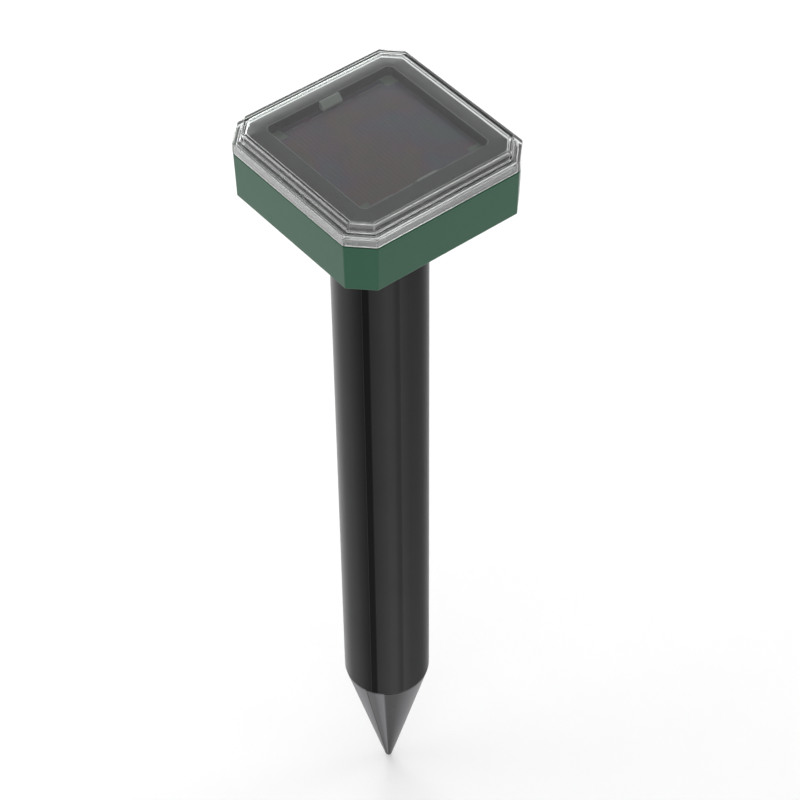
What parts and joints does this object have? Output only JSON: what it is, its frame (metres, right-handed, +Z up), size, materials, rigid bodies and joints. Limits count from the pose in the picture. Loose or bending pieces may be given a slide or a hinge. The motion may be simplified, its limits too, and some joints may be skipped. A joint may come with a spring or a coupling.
{
  "type": "ultrasonic pest repeller",
  "caption": "Solar ground stake repeller: square chamfered head with a clear lid over a solar panel, sounder in its spigot, on a round tube with a conical tip.",
  "frame": {"origin": "on the stake's axis at soil level, 30 mm below the head's underside", "axes": "+Z up along the stake, from the buried tip to the clear lid; +X and +Y square to the head's sides, +Y towards the side that holds the switch and circuit board"},
  "size_m": [0.0874, 0.0874, 0.398],
  "materials": {
    "green_shell": "dark green moulded plastic, satin gloss",
    "clear_plastic": "clear polystyrene, polished",
    "black_tube": "black extruded plastic, satin",
    "grey_tip": "dark grey moulded plastic, satin",
    "tray_plastic": "dark grey moulded plastic, fine satin texture",
    "solar_cells": "dark solar cells under a clear cast face",
    "clip_plastic": "grey-green moulded plastic",
    "seal_rubber": "black rubber",
    "button_rubber": "dark grey soft rubber",
    "spacer_plastic": "off-white sheet plastic",
    "screw_steel": "zinc-plated steel",
    "contact_metal": "nickel-plated spring steel",
    "board_laminate": "green glass-fibre laminate",
    "component_black": "black moulded epoxy",
    "resistor_coat": "tan lacquer with plain bands",
    "coil_copper": "enamelled copper winding",
    "black_plastic": "black moulded plastic",
    "cell_sleeve": "plain green printed sleeve, no text",
    "magnet_steel": "ferrite magnet in a plated steel pot",
    "diaphragm_film": "translucent plastic film",
    "red_lead": "red insulated wire",
    "black_lead": "black insulated wire"
  },
  "bodies": {
    "stake": {"stake_tube": "black_tube", "stake_tip": "grey_tip"},
    "seal": {"spigot_o_ring": "seal_rubber"},
    "head": {"head_housing": "green_shell", "lid_gasket": "seal_rubber", "clear_lid": "clear_plastic", "panel_tray": "tray_plastic", "solar_panel": "solar_cells", "panel_spacer": "spacer_plastic", "panel_clip_right": "clip_plastic", "panel_clip_left": "clip_plastic", "case_screw_front_right": "screw_steel", "case_screw_back_right": "screw_steel", "case_screw_back_left": "screw_steel", "case_screw_front_left": "screw_steel", "circuit_board": "board_laminate", "board_screw_right": "screw_steel", "board_screw_left": "screw_steel", "controller_chip": "component_black", "storage_capacitor": "component_black", "boost_coil": "coil_copper", "drive_transistor": "component_black", "charge_diode": "component_black", "timing_resistor": "resistor_coat", "power_switch": "black_plastic", "battery_holder": "black_plastic", "battery_cell": "cell_sleeve", "battery_plus_contact": "contact_metal", "battery_spring_contact": "contact_metal", "sounder_frame": "black_plastic", "sounder_magnet": "magnet_steel", "sounder_grille": "tray_plastic", "solar_lead_plus": "red_lead", "solar_lead_minus": "black_lead", "battery_lead_plus": "red_lead", "battery_lead_minus": "black_lead", "sounder_lead_plus": "red_lead", "sounder_lead_minus": "black_lead"},
    "button": {"button_plunger": "black_plastic", "button_cap": "button_rubber"},
    "sounder_cone": {"sounder_diaphragm": "diaphragm_film", "voice_coil": "coil_copper"}
  },
  "joints": [
    {"name": "head_lift", "type": "slide", "parent": "stake", "child": "seal", "axis": [0, 0, 1], "range_m": [0, 0.045]},
    {"name": "head_twist", "type": "hinge", "parent": "seal", "child": "head", "pos_m": [0, 0, 0.018], "axis": [0, 0, 1], "continuous": true},
    {"name": "power_button", "type": "slide", "parent": "head", "child": "button", "axis": [0, 0, 1], "range_m": [0, 0.0015], "stiffness_N_per_m": 200},
    {"name": "diaphragm_stroke", "type": "slide", "parent": "head", "child": "sounder_cone", "axis": [0, 0, 1], "range_m": [-0.0003, 0.0003], "stiffness_N_per_m": 300}
  ]
}
